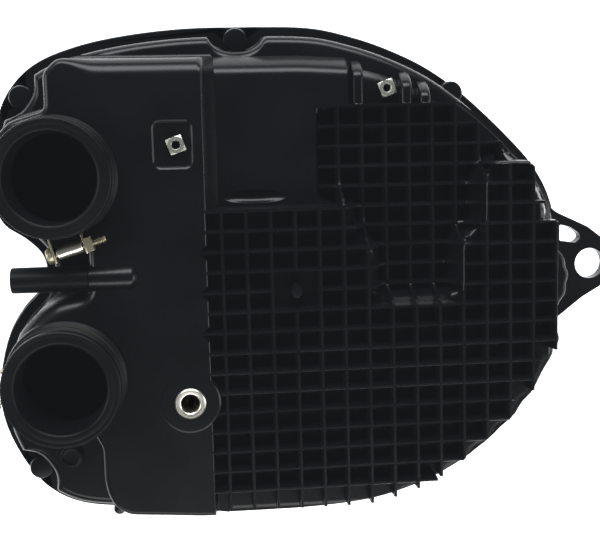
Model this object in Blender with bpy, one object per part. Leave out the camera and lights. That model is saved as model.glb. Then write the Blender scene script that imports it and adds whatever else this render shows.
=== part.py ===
"""Intake airbox for a twin-carburettor V-twin engine, lying on its outer cover.

The case is a ribbed plastic moulding with two rubber duct boots. It screws to a dished cover, and a
divider plate between them holds a flat pleated filter element. Lengths below are in millimetres,
+X runs from the ducts to the mounting ear and +Z points out of the ducts.
"""

import math

import bmesh
import bpy
from mathutils import Matrix, Vector

MM = 0.001
GAP = 0.3

# Heights above the surface that the cover lies on.
COVER_RIM_Z = 33.0
PARTING_Z = 35.0
FLANGE_TOP_Z = 40.0
BOSS_TOP_Z = 48.5
LEDGE_Z = 59.0
SHOULDER_Z = 61.0
RECESS_Z = 69.0
FACE_Z = 84.0
SPIGOT_TOP_Z = 95.0
DUCT_TOP_Z = 106.0

WALL = 2.5
RIM_INSET = 7.5
CAVITY_INSET = RIM_INSET + WALL
SEAL_OUTER_INSET = 2.8
SEAL_INNER_INSET = 6.0
SEAL_SCALLOP = 11.0

# The rib grid on the back of the case.
RIB_PITCH_X = 12.2
RIB_PITCH_Y = 10.2
RIB_THICKNESS = 1.7
RIB_HEIGHT = 9.0
GRID_X = -49.0
GRID_Y = 35.0
GRID_LEFT = -56.5
GRID_COLUMNS = 14
GRID_ROWS_BELOW = 15
GRID_ROWS_ABOVE = 5
LOW_GRID_LEFT = 1.5

DUCT_X = -128.0
UPPER_DUCT_Y = 54.0
LOWER_DUCT_Y = -46.0
DUCT_BORE_R = 21.5
SPIGOT_R = 24.5
BAND_R = 27.3
CLAMP_SCREW_OFFSET = 35.0
CLAMP_Z = 91.5
# Side of the duct, its y, the direction of the screw from it, and the tabs' shift along the screw.
CLAMPS = (("upper", 54.0, -73.6, -4.0), ("lower", -46.0, 180.0, 0.0))

NIPPLE_Y = 4.0
NIPPLE_Z = 80.0
HOSE_END_X = -152.3
NOTCH_X = -114.0

MOUNT_X = -67.6
MOUNT_Y = -60.8
COLLAR_R = 8.1
COLLAR_BORE_R = 4.7

EAR_X = 156.0
EAR_Y = -2.5
EAR_TIP_R = 14.0
EAR_HOLE_R = 8.4
EAR_TOP_Z = 42.0
EAR_WINDOW = ((138.6, 10.5), (147.8, 9.2), (150.8, 12.0), (149.5, 14.8), (144.5, 18.2), (138.6, 19.6))

DRAIN_X = -130.7
DRAIN_Y = -92.0
DRAIN_R = 6.0

# Cover screws: x, y and the direction that faces out of the case, in degrees.
COVER_SCREWS = (
    (-148.3, 94.2, 148.0),
    (-38.0, 121.5, 90.0),
    (76.0, 92.4, 52.0),
    (-148.3, -100.7, 221.0),
    (130.5, -43.0, -15.0),
    (76.0, -100.5, -55.0),
    (-62.0, -121.5, -90.0),
)
SHOWN_BOSSES = 4
BOSS_R = 5.4
PILLAR_R = 6.2
SCREW_R = 2.3
SCREW_HOLE_R = 2.6

DIVIDER_SCREWS = ((-40.0, 88.0, 68.0), (60.0, 80.0, 58.0), (60.0, -88.0, 74.0), (-45.0, -90.0, 74.0))
DIVIDER_Z = 36.0
DIVIDER_THICKNESS = 2.5

ELEMENT_X = 5.0
ELEMENT_Y = -5.0
ELEMENT_WIDTH = 176.0
ELEMENT_LENGTH = 136.0
ELEMENT_EDGE = 8.0
ELEMENT_Z = 12.0
PLEATS = 26

INTAKE_X = -22.0
INTAKE_WIDTH = 60.0
INTAKE_HEIGHT = 15.0
INTAKE_Z = 18.0

# Smooth outer rim of the cover, anticlockwise from the notch between the ducts.
RIM_POINTS = (
    (-142, 2), (-146.5, -7), (-155, -16), (-163, -29), (-168.2, -47), (-170, -64), (-166.8, -82),
    (-158, -101), (-147, -115), (-132, -124), (-112, -128), (-80, -129.5), (-40, -130),
    (-5, -129.5), (24, -127), (47, -121.5), (67, -113.5), (85, -103), (101, -90), (116, -76),
    (128, -60), (136, -40), (139.5, -15), (138.5, 10), (134, 31), (124, 50), (108, 67), (84, 90),
    (63, 105), (42, 115.5), (21, 122.5), (0, 128), (-32, 130), (-64, 129), (-94, 126),
    (-120, 121), (-141, 112), (-154.5, 98), (-162, 80), (-167, 55), (-165, 40), (-159, 28),
    (-150, 20.5), (-143, 12),
)

# Raised back of the case, anticlockwise from the notch.
BLOCK_POINTS = (
    (NOTCH_X, 20), (NOTCH_X, -3), (-116, -4), (-125, -5), (-133, -7.5), (-142, -13), (-150, -22),
    (-154, -32), (-140, -60), (-118, -71), (-112, -82), (-112, -99), (-110.5, -106), (-107, -113),
    (-100, -117.3), (-78, -118), (11, -118), (29, -115), (49, -110), (62, -103), (76, -95), (89, -81), (96, -76),
    (109, -64), (115, -47), (122.65, -37), (122.65, 26), (116, 36), (111, 46), (103, 56), (95, 66),
    (82, 77), (67, 89), (45, 99), (19, 107.5), (-7, 110.5), (-125, 110.5), (-132, 104), (-132, 86),
    (-139, 84), (-149, 81), (-155, 75), (-158, 60), (-156, 45), (-142, 28), (-128, 23), (-118, 24),
)

# Recessed part of the back, whose rib tops lie at RECESS_Z.
RECESS_POINTS = (
    (-53, 36.4), (20, 36.4), (24, 22), (31, 14), (31, -12), (70, -12), (70, 18), (82, 26), (82, 50),
    (98, 70), (110, 125), (-53, 125),
)

# Hollow inside the case under the left face, and under the high part of the rib grid.
LEFT_HOLLOW_POINTS = (
    (-111, 54), (-111, -46), (-109, -70), (-103.5, -80), (-104, -99), (-99, -115), (-60, -115),
    (-60, 106), (-128, 106), (-128, 84),
)
GRID_HOLLOW_POINTS = (
    (-62, -115), (10, -115), (28, -112), (47, -107), (60, -100), (74, -92), (87, -78), (94, -73),
    (106, -62), (112, -45), (119, -35), (119, 25), (113, 35), (108, 45), (100, 56), (97, 62),
    (85, 48), (85, 24), (73, 16), (73, -15), (28, -15), (28, 12), (21, 20), (17, 33.5), (-62, 33.5),
)


# ---------------------------------------------------------------- outlines

def smooth_outline(points, per_span=2):
    """Closed Catmull-Rom curve through the points."""
    count = len(points)
    curve = []
    for i in range(count):
        a, b, c, d = (Vector(points[(i + k) % count]) for k in (-1, 0, 1, 2))
        for step in range(per_span):
            t = step / per_span
            curve.append(
                0.5 * (2 * b + (c - a) * t + (2 * a - 5 * b + 4 * c - d) * t * t
                       + (3 * b - a - 3 * c + d) * t ** 3)
            )
    return curve


def inward_normals(points):
    """Unit normals of an anticlockwise closed curve, pointing inside."""
    normals = []
    for i in range(len(points)):
        along = points[(i + 1) % len(points)] - points[i - 1]
        normals.append(Vector((-along.y, along.x)).normalized())
    return normals


RIM = smooth_outline(RIM_POINTS)
RIM_NORMALS = inward_normals(RIM)
SCALLOP_REACH = 17.0


def rim_inset(distance, scallop=0.0):
    """The rim moved inwards, and further in beside each screw boss by up to the scallop."""
    moved = []
    for point, normal in zip(RIM, RIM_NORMALS):
        extra = 0.0
        for x, y, _ in COVER_SCREWS:
            near = (point - Vector((x, y))).length / SCALLOP_REACH
            if near < 1:
                extra = max(extra, scallop * (1 - near ** 4))
        moved.append(point + normal * (distance + extra))
    return moved


def rectangle(x, y, width, height):
    half_w, half_h = width / 2, height / 2
    return [(x - half_w, y - half_h), (x + half_w, y - half_h),
            (x + half_w, y + half_h), (x - half_w, y + half_h)]


def inside(point, outline):
    """Whether a point lies in a polygon, by counting the sides to its right."""
    crossings = 0
    for (x0, y0), (x1, y1) in zip(outline, outline[1:] + outline[:1]):
        if (y0 > point[1]) != (y1 > point[1]):
            crossings += point[0] < x0 + (point[1] - y0) * (x1 - x0) / (y1 - y0)
    return crossings % 2 == 1


# ---------------------------------------------------------------- materials and objects

def material(name, colour, roughness, metallic=0.0):
    made = bpy.data.materials.new(name)
    made.use_nodes = True
    shader = made.node_tree.nodes["Principled BSDF"]
    shader.inputs["Base Color"].default_value = (*colour, 1.0)
    shader.inputs["Roughness"].default_value = roughness
    shader.inputs["Metallic"].default_value = metallic
    return made


def new_object(name, bm, look=None):
    """An object from a bmesh in millimetres. With no material it is a hidden cutter."""
    bmesh.ops.scale(bm, vec=(MM, MM, MM), verts=bm.verts)
    bmesh.ops.recalc_face_normals(bm, faces=bm.faces)
    mesh = bpy.data.meshes.new(name)
    bm.to_mesh(mesh)
    bm.free()
    made = bpy.data.objects.new(name, mesh)
    bpy.context.scene.collection.objects.link(made)
    if look is None:
        made.hide_render = True
        made.display_type = "WIRE"
    else:
        mesh.materials.append(look)
    return made


def round_off(obj, angle=35):
    """Smooth shading with the real edges kept sharp."""
    obj.data.shade_smooth()
    obj.data.set_sharp_from_angle(angle=math.radians(angle))
    return obj


def boolean(obj, other, operation):
    """The long chains of cuts on the two shells leave open edges with the EXACT solver."""
    modifier = obj.modifiers.new(f"{operation.lower()} {other.name}", "BOOLEAN")
    modifier.operation = operation
    modifier.object = other
    modifier.solver = "MANIFOLD" if obj.name in ("case", "cover") else "EXACT"


def cut(obj, *others):
    for other in others:
        boolean(obj, other, "DIFFERENCE")


def join(obj, *others):
    for other in others:
        boolean(obj, other, "UNION")


# ---------------------------------------------------------------- shapes

def add_prism(bm, outline, low, high):
    bottom = bm.faces.new([bm.verts.new((x, y, low)) for x, y in outline])
    lid = bmesh.ops.extrude_face_region(bm, geom=[bottom])["geom"]
    risen = [item for item in lid if isinstance(item, bmesh.types.BMVert)]
    bmesh.ops.translate(bm, verts=risen, vec=(0, 0, high - low))


def prism(name, outline, low, high, look=None):
    bm = bmesh.new()
    add_prism(bm, outline, low, high)
    return new_object(name, bm, look)


def loft(name, rings, look=None, hollow=False):
    """Skin over outlines given as (outline, z). A hollow loft joins its last ring to its first."""
    bm = bmesh.new()
    loops = []
    for outline, z in rings:
        loops.append([bm.verts.new((x, y, z)) for x, y in outline])
    pairs = list(zip(loops, loops[1:] + loops[:1])) if hollow else list(zip(loops, loops[1:]))
    for below, above in pairs:
        for i in range(len(below)):
            bm.faces.new((below[i - 1], below[i], above[i], above[i - 1]))
    if not hollow:
        bm.faces.new(loops[0][::-1])
        bm.faces.new(loops[-1])
    return new_object(name, bm, look)


def turn(bm, profile, segments):
    """Spins a profile of (radius, height) about +Z. Ends on the axis close to a point."""
    points = [bm.verts.new((r, 0, z)) for r, z in profile]
    closed = min(r for r, _ in profile) > 0
    ends = points[1:] + points[:1] if closed else points[1:]
    edges = [bm.edges.new(pair) for pair in zip(points, ends)]
    bmesh.ops.spin(bm, geom=points + edges, cent=(0, 0, 0), axis=(0, 0, 1),
                   angle=2 * math.pi, steps=segments, use_merge=True)
    bmesh.ops.remove_doubles(bm, verts=bm.verts, dist=1e-4)


def turned(name, profile, place, look=None, along=(0, 0, 1), segments=32):
    bm = bmesh.new()
    turn(bm, profile, segments)
    made = new_object(name, bm, look)
    made.location = Vector(place) * MM
    made.rotation_mode = "QUATERNION"
    made.rotation_quaternion = Vector((0, 0, 1)).rotation_difference(Vector(along))
    return made if look is None else round_off(made)


def disc(name, x, y, radius, low, high, look=None, segments=32):
    return turned(name, [(0, low), (radius, low), (radius, high), (0, high)], (x, y, 0), look,
                  segments=segments)


def rod(name, start, end, radius, look=None, segments=24):
    run = Vector(end) - Vector(start)
    profile = [(0, 0), (radius, 0), (radius, run.length), (0, run.length)]
    return turned(name, profile, start, look, run.normalized(), segments)


def block(name, x_range, y_range, z_range, look=None):
    outline = [(x_range[0], y_range[0]), (x_range[1], y_range[0]),
               (x_range[1], y_range[1]), (x_range[0], y_range[1])]
    return prism(name, outline, z_range[0], z_range[1], look)


# ---------------------------------------------------------------- case

def rib_x(column):
    return GRID_X + column * RIB_PITCH_X


def rib_y(row):
    return GRID_Y - row * RIB_PITCH_Y


PEG_CELLS = {(column, row) for column in (2, 3) for row in (3, 4)}


def grid_cells():
    """(left, right, bottom, top, recessed) of each pocket between the ribs."""
    half = RIB_THICKNESS / 2
    edge = [Vector(point) for point in BLOCK_POINTS]
    for column in range(-1, GRID_COLUMNS):
        for row in range(-GRID_ROWS_ABOVE, GRID_ROWS_BELOW):
            left = rib_x(column) + half if column >= 0 else GRID_LEFT
            right = rib_x(column + 1) - half
            top, bottom = rib_y(row) - half, rib_y(row + 1) + half
            middle = ((left + right) / 2, (top + bottom) / 2)
            recessed = inside(middle, RECESS_POINTS)
            if (column, row) in PEG_CELLS or (not recessed and row < 0 and column < 11):
                continue
            if recessed:
                left = max(left, LOW_GRID_LEFT)
            corners = [(x, y) for x in (left, right) for y in (bottom, top)]
            if left < right and any(inside(corner, edge) for corner in corners):
                yield left, right, bottom, top, recessed


def rib_pockets():
    bm = bmesh.new()
    for left, right, bottom, top, recessed in grid_cells():
        floor = (RECESS_Z if recessed else FACE_Z) - RIB_HEIGHT
        outline = [(left, bottom), (right, bottom), (right, top), (left, top)]
        add_prism(bm, outline, floor, FACE_Z + 5)
    half = RIB_THICKNESS / 2
    peg_area = [(rib_x(2) + half, rib_y(5) + half), (rib_x(4) - half, rib_y(5) + half),
                (rib_x(4) - half, rib_y(3) - half), (rib_x(2) + half, rib_y(3) - half)]
    add_prism(bm, peg_area, FACE_Z - RIB_HEIGHT, FACE_Z + 5)
    return new_object("cutter rib pockets", bm)


def flange_notches():
    """Wedges beside the bosses that show, where the case flange turns in and the cover rim does not."""
    bm = bmesh.new()
    for x, y, degrees in COVER_SCREWS[:SHOWN_BOSSES]:
        out = Vector((math.cos(math.radians(degrees)), math.sin(math.radians(degrees))))
        side = Vector((-out.y, out.x))
        for sign in (-1, 1):
            centre = Vector((x, y))
            corners = [centre + side * sign * 5.8 + out * 1.0,
                       centre + side * sign * 6.2 + out * 12.0,
                       centre + side * sign * 17.0 + out * 12.0,
                       centre + side * sign * 14.0 + out * 7.0]
            add_prism(bm, corners, PARTING_Z - 2, FLANGE_TOP_Z + 2)
    return new_object("cutter flange notches", bm)


def case_hollow(case):
    cut(case, loft("cutter case hollow", [(rim_inset(CAVITY_INSET, 8.0), PARTING_Z - 1),
                                          (rim_inset(CAVITY_INSET, 8.0), LEDGE_Z - WALL)]))
    cut(case, prism("cutter left hollow", LEFT_HOLLOW_POINTS, PARTING_Z + 5, FACE_Z - WALL))
    cut(case, prism("cutter grid hollow", GRID_HOLLOW_POINTS, PARTING_Z + 6,
                    FACE_Z - RIB_HEIGHT - WALL))
    cut(case, block("cutter box hollow", (-49, -2), (40, 107), (PARTING_Z + 7, RECESS_Z - WALL)))
    for y in (UPPER_DUCT_Y, LOWER_DUCT_Y):
        cut(case, disc(f"cutter duct hollow {y:.0f}", DUCT_X, y, 27.0, PARTING_Z + 8, FACE_Z - WALL))


def case_ducts(case):
    for y in (UPPER_DUCT_Y, LOWER_DUCT_Y):
        join(case, disc(f"spigot {y:.0f}", DUCT_X, y, SPIGOT_R, FACE_Z - 2, SPIGOT_TOP_Z))
        cut(case, disc(f"cutter duct bore {y:.0f}", DUCT_X, y, DUCT_BORE_R, LEDGE_Z,
                       SPIGOT_TOP_Z + 1))


def case_nipple(case):
    join(case, rod("nipple bulge", (-92, NIPPLE_Y, NIPPLE_Z), (NOTCH_X - 0.5, NIPPLE_Y, NIPPLE_Z), 7.0))
    join(case, rod("nipple", (-100, NIPPLE_Y, NIPPLE_Z), (-140, NIPPLE_Y, NIPPLE_Z), 4.2))
    cut(case, rod("cutter nipple bore", (-100, NIPPLE_Y, NIPPLE_Z), (-145, NIPPLE_Y, NIPPLE_Z), 2.8))


def case_ear(case):
    arm = [(130, 34), (137, 26.5), (155, 18), (164, 11), (168.5, 4), (162.5, -15.7), (152, -21.6),
           (141.6, -29.6), (130, -38)]
    join(case, prism("ear arm", arm, PARTING_Z + 0.5, EAR_TOP_Z))
    join(case, disc("ear tip", EAR_X, EAR_Y, EAR_TIP_R, PARTING_Z + 0.5, EAR_TOP_Z))
    cut(case, disc("cutter ear hole", EAR_X, EAR_Y, EAR_HOLE_R, PARTING_Z - 2, EAR_TOP_Z + 2))
    cut(case, prism("cutter ear window", EAR_WINDOW, PARTING_Z - 2, EAR_TOP_Z + 2))


def case_bosses(case):
    for number, (x, y, _) in enumerate(COVER_SCREWS, 1):
        join(case, disc(f"screw boss {number}", x, y, BOSS_R, PARTING_Z, BOSS_TOP_Z, segments=14))
        cut(case, disc(f"cutter screw hole {number}", x, y, SCREW_HOLE_R, PARTING_Z - 1,
                       BOSS_TOP_Z - 2, segments=8))
    for number, (x, y, top) in enumerate(DIVIDER_SCREWS, 1):
        post_low = DIVIDER_Z + DIVIDER_THICKNESS + GAP
        join(case, disc(f"divider post {number}", x, y, 4.0, post_low, top, segments=10))
        cut(case, disc(f"cutter divider hole {number}", x, y, 2.0, post_low - 1, post_low + 13,
                       segments=8))


def make_case(plastic):
    case = loft("case", [(rim_inset(0.8), PARTING_Z), (rim_inset(0.8), FLANGE_TOP_Z)], plastic)
    join(case, loft("case wall", [(rim_inset(RIM_INSET, 8.0), PARTING_Z + 2),
                                  (rim_inset(RIM_INSET, 8.0), LEDGE_Z)]))
    join(case, prism("raised back", BLOCK_POINTS, FLANGE_TOP_Z, FACE_Z))
    for y in (UPPER_DUCT_Y, LOWER_DUCT_Y):
        join(case, disc(f"duct base {y:.0f}", DUCT_X, y, 30.5, FLANGE_TOP_Z + 1, FACE_Z, segments=40))
    cut(case, prism("cutter recess", RECESS_POINTS, RECESS_Z, FACE_Z + 2))
    cut(case, block("cutter shoulder", (18, 80), (rib_y(-5) + 0.85, 115), (SHOULDER_Z, FACE_Z)))
    for number, (x, top) in enumerate(((22.8, 107), (47.9, 101), (57.5, 96)), 1):
        join(case, block(f"fin {number}", (x - 3, x + 3), (rib_y(-5), top), (LEDGE_Z, RECESS_Z)))
    cut(case, rib_pockets())
    join(case, disc("mount boss", MOUNT_X, MOUNT_Y, 15.0, FACE_Z - RIB_HEIGHT - 1, FACE_Z))
    case_hollow(case)
    join(case, disc("mount tube", MOUNT_X, MOUNT_Y, 11.0, FLANGE_TOP_Z + 1, FACE_Z - 0.8))
    cut(case, disc("cutter mount bore", MOUNT_X, MOUNT_Y, COLLAR_R + GAP, PARTING_Z, FACE_Z + 1))
    cut(case, block("cutter nut pocket", (-80.4, -62.6), (57.3, 79.4), (FACE_Z - 1.6, FACE_Z + 1)))
    slot = [(x * 16 - 31.2, y * 2.6 + 41.5) for x, y in
            ((math.cos(k * math.pi / 12), math.sin(k * math.pi / 12)) for k in range(24))]
    cut(case, prism("cutter dent", slot, RECESS_Z - 1.6, RECESS_Z + 1))
    join(case, disc("oval peg", rib_x(3), -6.4, 3.5, FACE_Z - RIB_HEIGHT - 1, FACE_Z - 2))
    join(case, disc("side post", -105.5, -115.0, 3.0, LEDGE_Z - 1, 80, segments=20))
    case_ducts(case)
    case_nipple(case)
    case_ear(case)
    case_bosses(case)
    cut(case, flange_notches())
    cut(case, disc("cutter drain hole", DRAIN_X, DRAIN_Y, DRAIN_R - 1.5, PARTING_Z + 9, LEDGE_Z + 2))
    return case


# ---------------------------------------------------------------- cover and seal

def make_cover(plastic):
    cover = loft("cover", [(rim_inset(5.0), 0), (rim_inset(2.0), 3), (rim_inset(0.0), 10),
                           (rim_inset(0.0), COVER_RIM_Z)], plastic)
    mouth = rim_inset(SEAL_INNER_INSET + 0.5, SEAL_SCALLOP)
    cut(cover, loft("cutter cover hollow", [(rim_inset(6.0), WALL), (rim_inset(2.8), 10),
                                            (rim_inset(2.8), COVER_RIM_Z - 5),
                                            (mouth, COVER_RIM_Z - 4), (mouth, COVER_RIM_Z + 1)]))
    for number, (x, y, _) in enumerate(COVER_SCREWS, 1):
        join(cover, disc(f"cover pillar {number}", x, y, PILLAR_R, 1, COVER_RIM_Z, segments=14))
        cut(cover, disc(f"cutter pillar bore {number}", x, y, SCREW_HOLE_R, -1, COVER_RIM_Z + 1,
                        segments=8))
        cut(cover, disc(f"cutter head seat {number}", x, y, 4.4, -1, 5, segments=12))
    cut(cover, block("cutter intake slot", (INTAKE_X - INTAKE_WIDTH / 2, INTAKE_X + INTAKE_WIDTH / 2),
                     (-135, -118), (INTAKE_Z - INTAKE_HEIGHT / 2, INTAKE_Z + INTAKE_HEIGHT / 2)))
    return cover


def make_cover_screws(steel):
    for number, (x, y, _) in enumerate(COVER_SCREWS, 1):
        screw = turned(f"cover_screw_{number}",
                       [(0, 1.2), (3.9, 1.2), (3.9, 4.4), (SCREW_R, 4.4), (SCREW_R, 45.0),
                        (0, 46.0)], (x, y, 0), steel, segments=12)
        cut(screw, disc(f"cutter socket {number}", x, y, 2.0, 0, 3.2, segments=6))


def make_cover_seal(rubber):
    low, high = COVER_RIM_Z + GAP, PARTING_Z - GAP
    outer, inner = rim_inset(SEAL_OUTER_INSET, SEAL_SCALLOP), rim_inset(SEAL_INNER_INSET, SEAL_SCALLOP)
    return round_off(loft("cover_seal", [(outer, low), (outer, high), (inner, high), (inner, low)],
                          rubber, hollow=True))


def make_intake_snorkel(rubber):
    outer = rectangle(INTAKE_X, INTAKE_Z, INTAKE_WIDTH - 2 * GAP, INTAKE_HEIGHT - 2 * GAP)
    inner = rectangle(INTAKE_X, INTAKE_Z, INTAKE_WIDTH - 6, INTAKE_HEIGHT - 6)
    collar = rectangle(INTAKE_X, INTAKE_Z, INTAKE_WIDTH + 6, INTAKE_HEIGHT + 4)

    def standing(name, outline, y_from, y_to, look=None):
        made = prism(name, outline, y_from, y_to, look)
        made.data.transform(Matrix.Rotation(math.pi / 2, 4, "X") @ Matrix.Scale(-1, 4, (0, 0, 1)))
        made.data.flip_normals()
        return made

    snorkel = standing("intake_snorkel", outer, -129.5, -98.0, rubber)
    join(snorkel, standing("snorkel collar", collar, -124.9, -122.4))
    cut(snorkel, standing("cutter snorkel bore", inner, -131, -97))
    return snorkel


# ---------------------------------------------------------------- divider and filter element

def make_divider(plastic, steel):
    outline = rim_inset(CAVITY_INSET + 1.0, 8.0)
    plate = prism("divider_plate", outline, DIVIDER_Z, DIVIDER_Z + DIVIDER_THICKNESS, plastic)
    window = rectangle(ELEMENT_X, ELEMENT_Y, ELEMENT_WIDTH - 20, ELEMENT_LENGTH - 20)
    cut(plate, prism("cutter divider window", window, DIVIDER_Z - 1, DIVIDER_Z + 5))
    for number, (x, y, _) in enumerate(DIVIDER_SCREWS, 1):
        cut(plate, disc(f"cutter divider clearance {number}", x, y, 2.3, DIVIDER_Z - 1, DIVIDER_Z + 5,
                        segments=16))
        turned(f"divider_screw_{number}",
               [(0, 32.9), (3.0, 32.9), (3.6, 33.9), (3.6, DIVIDER_Z - GAP), (1.7, DIVIDER_Z - GAP),
                (1.7, 50.0), (0, 50.0)], (x, y, 0), steel, segments=12)


def make_element(rubber, paper, wire):
    outer = rectangle(ELEMENT_X, ELEMENT_Y, ELEMENT_WIDTH, ELEMENT_LENGTH)
    inner_w, inner_l = ELEMENT_WIDTH - 2 * ELEMENT_EDGE, ELEMENT_LENGTH - 2 * ELEMENT_EDGE
    top = DIVIDER_Z - GAP
    frame = prism("element_frame", outer, ELEMENT_Z, top, rubber)
    cut(frame, prism("cutter element opening", rectangle(ELEMENT_X, ELEMENT_Y, inner_w, inner_l),
                     ELEMENT_Z - 1, top + 1))
    half = inner_w / 2 - 0.5
    pitch = 2 * half / PLEATS
    low, high, sheet = ELEMENT_Z + 2, top - 3.5, 1.4
    crest = [(ELEMENT_X - half + k * pitch / 2, high if k % 2 else low + sheet)
             for k in range(2 * PLEATS + 1)]
    under = [(x, z - sheet) for x, z in reversed(crest)]
    bm = bmesh.new()
    front = bm.faces.new([bm.verts.new((x, ELEMENT_Y - inner_l / 2 + 0.5, z)) for x, z in crest + under])
    risen = [item for item in bmesh.ops.extrude_face_region(bm, geom=[front])["geom"]
             if isinstance(item, bmesh.types.BMVert)]
    bmesh.ops.translate(bm, verts=risen, vec=(0, inner_l - 1, 0))
    new_object("element_media", bm, paper)
    screen = prism("element_screen", rectangle(ELEMENT_X, ELEMENT_Y, inner_w - 1, inner_l - 1),
                   top - 2.6, top - 1.4, wire)
    bm = bmesh.new()
    across, down = 6, 4
    for i in range(across):
        for j in range(down):
            x = ELEMENT_X + (i + 0.5 - across / 2) * (inner_w - 6) / across
            y = ELEMENT_Y + (j + 0.5 - down / 2) * (inner_l - 6) / down
            hole = rectangle(x, y, (inner_w - 6) / across - 2.5, (inner_l - 6) / down - 2.5)
            add_prism(bm, hole, top - 4, top)
    cut(screen, new_object("cutter screen holes", bm))


# ---------------------------------------------------------------- duct boots and clamps

def make_boot(name, y, rubber):
    profile = [
        (SPIGOT_R + GAP, FACE_Z + GAP), (30.0, FACE_Z + GAP), (30.0, FACE_Z + 2.5),
        (27.0, FACE_Z + 4.2), (27.0, 96.5), (25.6, 98.8), (28.4, 101.5), (28.4, 105.0),
        (27.4, DUCT_TOP_Z), (22.6, DUCT_TOP_Z), (DUCT_BORE_R, 104.8),
        (DUCT_BORE_R, SPIGOT_TOP_Z + GAP), (SPIGOT_R + GAP, SPIGOT_TOP_Z + GAP),
    ]
    return turned(name, profile, (DUCT_X, y, 0), rubber, segments=32)


def make_clamp(side, duct_y, degrees, shift, zinc, steel):
    """Band, spacer sleeve, screw and square nut. The screw runs tangentially, outside the band."""
    out = Vector((math.cos(math.radians(degrees)), math.sin(math.radians(degrees)), 0))
    along = Vector((-out.y, out.x, 0))
    centre = Vector((DUCT_X, duct_y, CLAMP_Z))
    gap_at = centre + along * shift
    axis_at = gap_at + out * CLAMP_SCREW_OFFSET
    band = turned(f"clamp_band_{side}", [(BAND_R, -2.5), (BAND_R + 0.9, -2.5), (BAND_R + 0.9, 2.5),
                                         (BAND_R, 2.5)], centre, zinc, segments=32)
    for sign in (-1, 1):
        reach = shift + sign * 7.2
        foot = centre + out * (math.sqrt(BAND_R ** 2 - reach ** 2) + 0.2) + along * reach
        tip = centre + out * (BAND_R + 12.0) + along * reach
        corners = [foot - along * 0.6, foot + along * 0.6, tip + along * 0.6, tip - along * 0.6]
        join(band, prism(f"tab {side} {sign}", [(p.x, p.y) for p in corners],
                         CLAMP_Z - 3.5, CLAMP_Z + 3.5))
    gap_corners = [gap_at + out * (BAND_R - 4) + along * sign * 6.0 for sign in (-1, 1)]
    gap_corners += [gap_at + out * (BAND_R + 3) + along * sign * 6.0 for sign in (1, -1)]
    cut(band, prism(f"cutter band gap {side}", [(p.x, p.y) for p in gap_corners],
                    CLAMP_Z - 5, CLAMP_Z + 5))
    cut(band, rod(f"cutter tab holes {side}", axis_at - along * 12, axis_at + along * 12, 2.2,
                  segments=16))
    turned(f"clamp_sleeve_{side}", [(2.2, -6.2), (3.0, -6.2), (3.0, 6.2), (2.2, 6.2)], axis_at, zinc,
           along, 20)
    screw = turned(f"clamp_screw_{side}",
                   [(0, -11.6), (3.6, -11.6), (4.0, -11.0), (4.0, -8.2), (1.8, -8.2), (1.8, 17.0),
                    (1.1, 17.8), (0, 17.8)], axis_at, steel, along, 20)
    slot_centre = axis_at - along * 11.6
    corners = [slot_centre + along * a + out * b for a, b in ((-1, -5), (1.2, -5), (1.2, 5), (-1, 5))]
    cut(screw, prism(f"cutter screw slot {side}", [(p.x, p.y) for p in corners],
                     CLAMP_Z - 0.5, CLAMP_Z + 0.5))
    nut_at = axis_at + along * 9.8
    corners = [nut_at + along * a + out * b for a, b in ((-1.6, -3.5), (1.6, -3.5), (1.6, 3.5), (-1.6, 3.5))]
    nut = prism(f"clamp_nut_{side}", [(p.x, p.y) for p in corners], CLAMP_Z - 3.5, CLAMP_Z + 3.5, zinc)
    cut(nut, rod(f"cutter nut bore {side}", nut_at - along * 3, nut_at + along * 3, 2.1, segments=16))


# ---------------------------------------------------------------- small pieces

def square_nut(name, x, y, low, steel):
    turn_by = Matrix.Rotation(math.radians(20), 2)
    corners = [turn_by @ Vector(corner) for corner in rectangle(0, 0, 8, 8)]
    nut = prism(name, [(x + c.x, y + c.y) for c in corners], low, low + 3.2, steel)
    cut(nut, disc(f"cutter {name}", x, y, 2.1, low - 1, low + 5, segments=16))


def make_small_pieces(rubber, zinc):
    turned("breather_hose", [(4.5, 0), (6.3, 0), (6.3, NOTCH_X - 0.9 - HOSE_END_X),
                             (4.5, NOTCH_X - 0.9 - HOSE_END_X)],
           (HOSE_END_X, NIPPLE_Y, NIPPLE_Z), rubber, (1, 0, 0), 24)
    turned("mount_collar", [(COLLAR_BORE_R, 50.0), (COLLAR_R, 50.0), (COLLAR_R, 84.6), (7.4, 85.3),
                            (5.6, 85.3), (COLLAR_BORE_R, 84.6)], (MOUNT_X, MOUNT_Y, 0), zinc, segments=24)
    turned("drain_plug", [(0, LEDGE_Z + GAP), (DRAIN_R, LEDGE_Z + GAP), (DRAIN_R, LEDGE_Z + 1.6),
                          (DRAIN_R - 0.8, LEDGE_Z + 2.2), (0, LEDGE_Z + 2.2)],
           (DRAIN_X, DRAIN_Y, 0), rubber, segments=28)
    stem = disc("plug stem", DRAIN_X, DRAIN_Y, DRAIN_R - 1.8, LEDGE_Z - 6, LEDGE_Z + 1, segments=20)
    join(bpy.data.objects["drain_plug"], stem)
    square_nut("square_nut_left", -69.9, 68.1, FACE_Z - 1.6 + GAP, zinc)
    square_nut("square_nut_top", 38.6, 94.8, SHOULDER_Z + GAP, zinc)


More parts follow.
